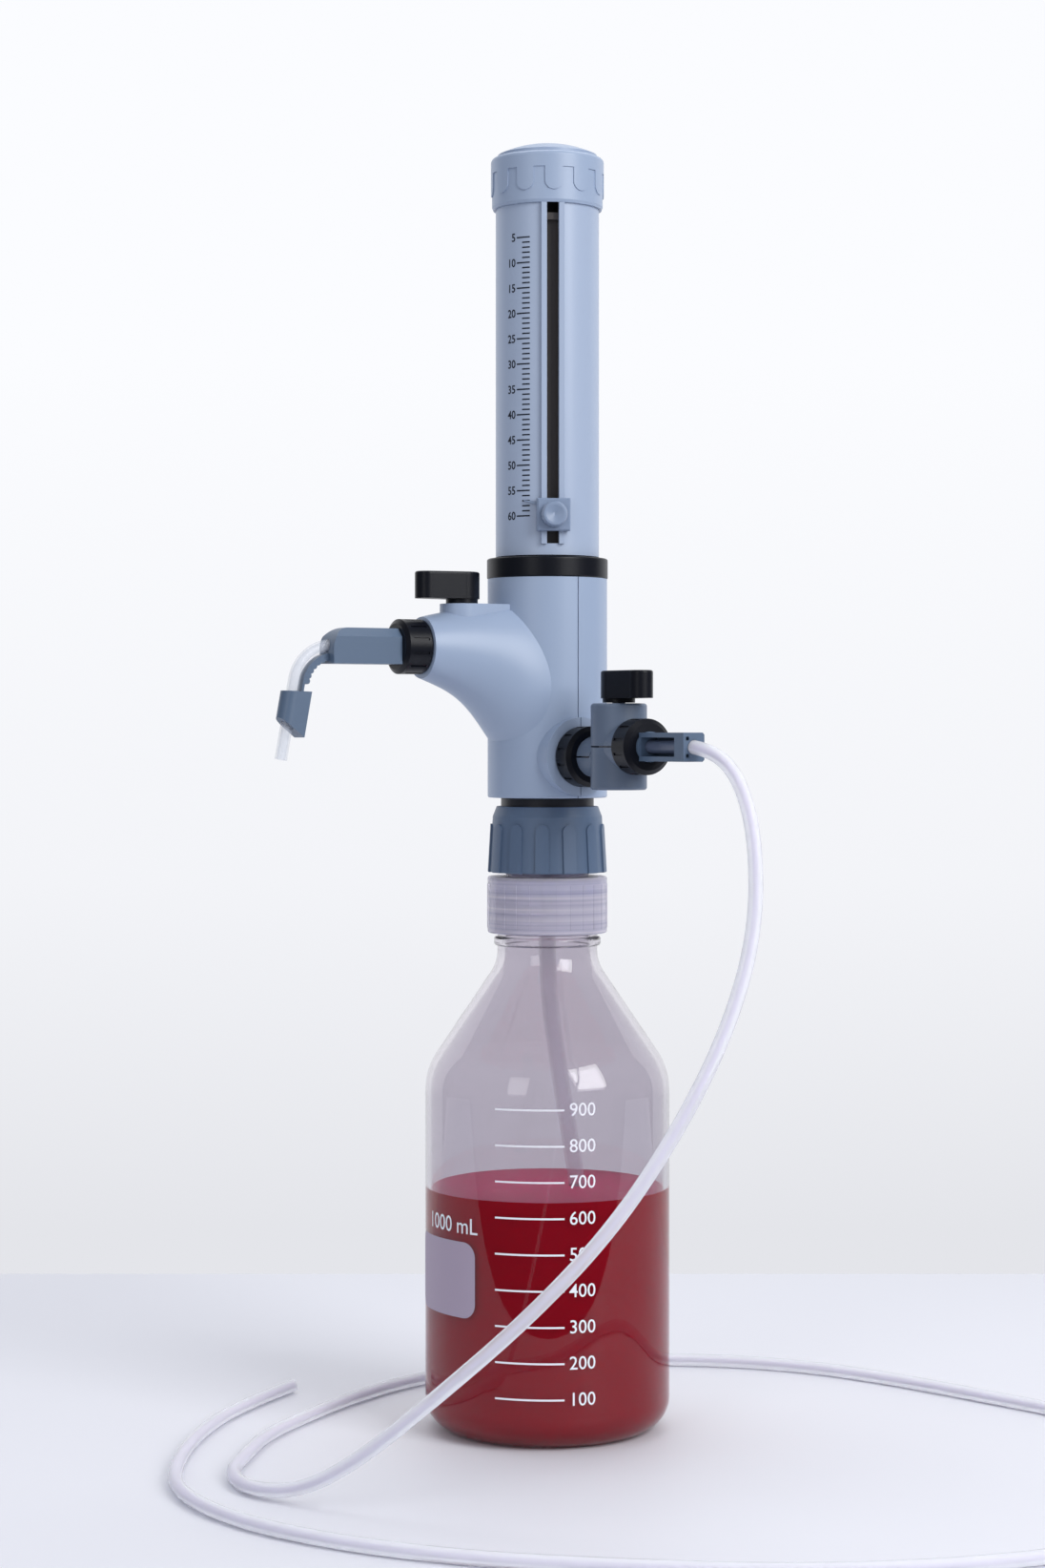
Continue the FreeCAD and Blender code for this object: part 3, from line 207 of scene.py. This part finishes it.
# Printing follows a round surface: a place in flat millimetres becomes an angle about
# the bottle's middle and a height. Turns are in degrees from +X.
def mesh_object(name, points, faces, made):
    mesh = bpy.data.meshes.new(name)
    mesh.from_pydata(points, [], faces)
    mesh.update()
    mesh.materials.append(made)
    return new_object(name, mesh)


def wrapped(u, v, radius, turn):
    angle = math.radians(turn) + u / radius
    return (radius * math.cos(angle) * MM, radius * math.sin(angle) * MM, v * MM)


def strip(points, faces, pairs):
    """A band of quads between pairs of points, each a lower and an upper one."""
    first = len(points)
    for pair in pairs:
        points.extend(pair)
    for i in range(len(pairs) - 1):
        a = first + 2 * i
        faces.append((a, a + 2, a + 3, a + 1))


def bar(points, faces, radius, turns, level, thickness):
    """A thin level bar between two turns, bent round the surface."""
    widest_step = 1.5
    steps = max(2, math.ceil(abs(turns[1] - turns[0]) / widest_step))
    heights = (level - thickness / 2, level + thickness / 2)
    pairs = []
    for i in range(steps + 1):
        turn = turns[0] + (turns[1] - turns[0]) * i / steps
        pairs.append([wrapped(0, height, radius, turn) for height in heights])
    strip(points, faces, pairs)


def lettering(name, words, size, align, radius, turn, height, made, stretch=1.0, bold=0.004):
    """Figures as tall as the size, bent round the surface, set from one turn at one height."""
    capital_share = 0.70
    bpy.ops.object.text_add()
    text = bpy.context.object
    text.data.body = words
    text.data.size = size / capital_share
    text.data.align_x = align
    text.data.align_y = "CENTER"
    text.data.offset = size * bold
    text.data.resolution_u = 3
    bpy.ops.object.convert(target="MESH")
    text.name = name
    for vertex in text.data.vertices:
        u, v = vertex.co.x * stretch, vertex.co.y
        vertex.co = wrapped(u, height + v, radius, turn)
    text.data.materials.clear()
    text.data.materials.append(made)
    text.select_set(False)
    return text


def joined(name, things):
    bpy.ops.object.select_all(action="DESELECT")
    for thing in things:
        thing.select_set(True)
    bpy.context.view_layer.objects.active = things[0]
    bpy.ops.object.join()
    things[0].name = name
    things[0].select_set(False)
    return things[0]


# Bottle printing: nine graduations in white enamel on the front of the glass, their
# figures beside them, the bottle's capacity, and a plain patch to write on.
bottle_radius = 50.5
print_radius = bottle_radius + 0.04
facing = 240.0
first_mark = 21.3
mark_step = 14.4
mark_count = 9
mark_turns = (facing - 24.9, facing + 7.3)
mark_thickness = 0.75
mark_figure_turn = facing + 9.4
mark_figure_size = 5.3
mark_figure_stretch = 0.98
points, faces = [], []
figures = []
for i in range(mark_count):
    level = first_mark + mark_step * i
    bar(points, faces, print_radius, mark_turns, level, mark_thickness)
    figures.append(lettering("figure", str(100 * (i + 1)), mark_figure_size, "LEFT",
                             print_radius, mark_figure_turn, level, enamel, mark_figure_stretch))
lines = mesh_object("bottle_lines", points, faces, enamel)

patch_turns = (facing - 86.0, facing - 35.5)
patch_bottom = 51.5
patch_top = 82.0
patch_corner = 6.0
patch_columns = 40
arc_length = math.radians(patch_turns[1] - patch_turns[0]) * print_radius
points, faces = [], []
pairs = []
for i in range(patch_columns + 1):
    along = arc_length * (1 - math.cos(math.pi * i / patch_columns)) / 2
    edge = min(along, arc_length - along, patch_corner)
    drop = patch_corner - math.sqrt(patch_corner ** 2 - (patch_corner - edge) ** 2)
    heights = (patch_bottom + drop, patch_top - drop)
    pairs.append([wrapped(along, height, print_radius, patch_turns[0]) for height in heights])
strip(points, faces, pairs)
patch = mesh_object("writing_patch", points, faces, frosted)

capacity_size = 6.4
capacity_turn = facing - 34.0
capacity_height = 88.2
capacity = lettering("capacity", "1000 mL", capacity_size, "RIGHT", print_radius,
                     capacity_turn, capacity_height, enamel)
bottle_print = joined("bottle_printing", [lines, patch, capacity] + figures)
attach(bottle_print, "base")

# Reagent: the liquid runs a hair into the glass, so that light passes from one straight
# into the other with no film of air between them, and its upper face is painted pink as a painted
# reflection of the bright room.
into_glass = 0.35 * MM
near_wall = 30 * MM
near_floor = 4 * MM
rim_depth = 0.05 * MM
liquid_mesh = nodes["reagent"].data.copy()
liquid = new_object("liquid", liquid_mesh)
for vertex in liquid_mesh.vertices:
    x, y, z = vertex.co
    reach = math.hypot(x, y)
    if reach > near_wall:
        vertex.co.x += x / reach * into_glass
        vertex.co.y += y / reach * into_glass
    if z < near_floor:
        vertex.co.z -= into_glass
liquid_mesh.materials.clear()
liquid_mesh.materials.append(red_reagent)
liquid_mesh.materials.append(reagent_top_reflection)
top_level = max(vertex.co.z for vertex in liquid_mesh.vertices)
# Painted reflection: the faces at the very top of the liquid get the pink material.
for face in liquid_mesh.polygons:
    if face.center.z > top_level - rim_depth:
        face.material_index = 1
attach(liquid, "base")
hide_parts("reagent")

# Volume scale: a tick for each millilitre on the sleeve, a longer one for each five
# with its figures on the left, in dark blue ink.
sleeve_radius = 21.35
scale_radius = sleeve_radius + 0.05
zero_line = 498.8
millilitre = 2.065
least_volume = 5
most_volume = 60
figure_every = 5
tick_thickness = 0.58
tick_right = 220.0
tick_left = 210.8
long_tick_left = 203.8
scale_figure_turn = 202.2
scale_figure_size = 3.3
scale_figure_stretch = 0.92
scale_figure_bold = 0.022
points, faces = [], []
figures = []
for volume in range(least_volume, most_volume + 1):
    level = zero_line - millilitre * volume
    has_figure = volume % figure_every == 0
    left = long_tick_left if has_figure else tick_left
    bar(points, faces, scale_radius, (left, tick_right), level, tick_thickness)
    if has_figure:
        figures.append(lettering("figure", str(volume), scale_figure_size, "RIGHT",
                                 scale_radius, scale_figure_turn, level, ink,
                                 scale_figure_stretch, scale_figure_bold))
ticks = mesh_object("scale_ticks", points, faces, ink)
scale_print = joined("volume_scale", [ticks] + figures)
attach(scale_print, "sleeve")

# Return hose: clear flexible tubing from the return valve down to the table, once
# round behind the bottle and back, with its bore showing as a darker core.
hose_radius = 2.75
bore_radius = 0.9
hose_start = (0, -110.5, 281)
hose_fall = [
    hose_start,
    (0, -127, 279.2),
    (0, -143.5, 267),
    (-3, -157, 245),
    (-9, -165, 212),
    (-24, -169, 178),
    (-45, -169, 144),
    (-68, -161, 109),
    (-92, -143, 77),
    (-114, -117, 47),
    (-133, -88, 19),
    (-146, -66, 5),
]
hose_on_table = [
    (-157, -44),
    (-152, -18),
    (-134, 6),
    (-113, 32),
    (-84, 54),
    (-52, 76),
    (-18, 93),
    (20, 101),
    (60, 98),
    (98, 81),
    (131, 58),
    (156, 26),
    (172, -14),
    (184, -58),
    (196, -104),
    (199, -154),
    (186, -203),
    (152, -243),
    (104, -265),
    (54, -270),
    (4, -260),
    (-46, -238),
    (-92, -204),
    (-134, -167),
    (-164, -124),
    (-181, -78),
    (-181, -32),
    (-163, 8),
    (-136, 48),
    (-102, 84),
    (-64, 110),
]
hose_route = hose_fall + [(x, y, hose_radius) for x, y in hose_on_table]


def hose_curve(name, radius, made):
    curve = bpy.data.curves.new(name, "CURVE")
    curve.dimensions = "3D"
    curve.resolution_u = 10
    curve.bevel_depth = radius * MM
    curve.bevel_resolution = 5
    curve.use_fill_caps = True
    spline = curve.splines.new("NURBS")
    spline.points.add(len(hose_route) - 1)
    for point, place in zip(spline.points, hose_route):
        point.co = (place[0] * MM, place[1] * MM, place[2] * MM, 1.0)
    spline.order_u = 3
    spline.use_endpoint_u = True
    curve.materials.append(made)
    return new_object(name, curve)


hose = hose_curve("hose", hose_radius, hose_skin)
bore = hose_curve("hose_bore", bore_radius, hose_core)
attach(hose, "base")
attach(bore, "base")
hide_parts("return_hose")

# Table and wall: a white table top that ends behind the bottle, and a bright wall far
# past it that glows by itself, with painted shade that makes it a little greyer near the table.
away = Vector((0.5, math.sqrt(0.75), 0.0))
away_turn = math.radians(-30)
table_width = 2.4
table_front = 0.28
table_edge = 0.352
table_drop = Vector((0, 0, -0.0002))
bpy.ops.mesh.primitive_plane_add(size=1.0)
table = bpy.context.object
table.name = "table"
table.scale = (table_width, table_edge + table_front, 1.0)
table.rotation_euler = (0, 0, away_turn)
table.location = away * (table_edge - table_front) / 2 + table_drop
table.data.materials.append(material("white table", "E3E4EB", 0.6))

wall_size = 12.0
wall_distance = 3.0
shade_per_metre = 0.413
shade_at_table = 0.168
bpy.ops.mesh.primitive_plane_add(size=wall_size)
wall = bpy.context.object
wall.name = "wall"
wall.rotation_euler = (math.radians(90), 0, away_turn)
wall.location = away * wall_distance
wall_white = bpy.data.materials.new("bright wall")
wall_white.use_nodes = True
tree = wall_white.node_tree
tree.nodes.clear()
place = add(tree, "ShaderNodeTexCoord")
parts = add(tree, "ShaderNodeSeparateXYZ")
height = add_math(tree, "MULTIPLY_ADD", shade_per_metre, shade_at_table)
ramp = add(tree, "ShaderNodeValToRGB")
glow = add(tree, "ShaderNodeEmission", Strength=1.0)
out = add(tree, "ShaderNodeOutputMaterial")
# Painted shade: the glow is greyer near the table and whiter higher up.
ramp.color_ramp.elements[0].position = 0.0
ramp.color_ramp.elements[0].color = linear("E4E5EA")
ramp.color_ramp.elements[1].position = 0.5
ramp.color_ramp.elements[1].color = linear("FBFCFF")
ramp.color_ramp.elements.new(0.2).color = linear("F3F4F8")
tree.links.new(place.outputs["Object"], parts.inputs["Vector"])
tree.links.new(parts.outputs["Y"], height.inputs[0])
tree.links.new(height.outputs[0], ramp.inputs["Fac"])
tree.links.new(ramp.outputs["Color"], glow.inputs["Color"])
tree.links.new(glow.outputs[0], out.inputs["Surface"])
wall.data.materials.append(wall_white)

# Light: a room that is white to look at and through, greyer as light on the pieces and
# darker still in their gloss; a large soft panel in front on the right, a weaker one at
# the left that lifts the shadow side, and one above the back of the table.
room_strength = 0.57
gloss_strength = 0.14
world = scene.world or bpy.data.worlds.new("room")
scene.world = world
world.use_nodes = True
tree = world.node_tree
tree.nodes.clear()
path = add(tree, "ShaderNodeLightPath")
gloss = add_math(tree, "MULTIPLY_ADD", gloss_strength - room_strength, room_strength)
room = add(tree, "ShaderNodeBackground", Color=linear("E9ECF6"))
white = add(tree, "ShaderNodeBackground", Color=linear("FBFAFF"), Strength=1.0)
either = add_math(tree, "MAXIMUM")
mix = add(tree, "ShaderNodeMixShader")
out = add(tree, "ShaderNodeOutputWorld")
tree.links.new(path.outputs["Is Glossy Ray"], gloss.inputs[0])
tree.links.new(gloss.outputs[0], room.inputs["Strength"])
tree.links.new(path.outputs["Is Camera Ray"], either.inputs[0])
tree.links.new(path.outputs["Is Transmission Ray"], either.inputs[1])
tree.links.new(either.outputs[0], mix.inputs[0])
tree.links.new(room.outputs[0], mix.inputs[1])
tree.links.new(white.outputs[0], mix.inputs[2])
tree.links.new(mix.outputs[0], out.inputs["Surface"])


def panel(name, place, aim, size, power):
    data = bpy.data.lights.new(name, "AREA")
    data.shape = "RECTANGLE"
    data.size = size[0]
    data.size_y = size[1]
    data.energy = power
    lamp = new_object(name, data)
    lamp.location = place
    lamp.rotation_euler = (Vector(aim) - Vector(place)).to_track_quat("-Z", "Y").to_euler()


panel("key_panel", place=(0.35, -1.5, 1.1), aim=(0, 0, 0.3), size=(0.9, 1.1), power=21.0)
panel("fill_panel", place=(-1.5, -0.9, 0.8), aim=(0, 0, 0.3), size=(0.6, 0.9), power=3.0)
panel("table_panel", place=(0.13, 0.23, 1.2), aim=(0.13, 0.23, 0), size=(1.0, 0.3), power=3.0)

# Camera: level, a little above the middle of the whole, looking between the delivery
# arm on the left and the return valve on the right.
camera_data = bpy.data.cameras.new("camera")
camera_data.sensor_width = 36.0
camera_data.lens = 69.64
camera_data.shift_y = -0.0328
camera_data.dof.use_dof = False
camera = new_object("camera", camera_data)
camera.location = (-0.6364, -1.0817, 0.2866)
camera.rotation_euler = away.to_track_quat("-Z", "Y").to_euler()
scene.camera = camera
scene.view_settings.view_transform = "Standard"
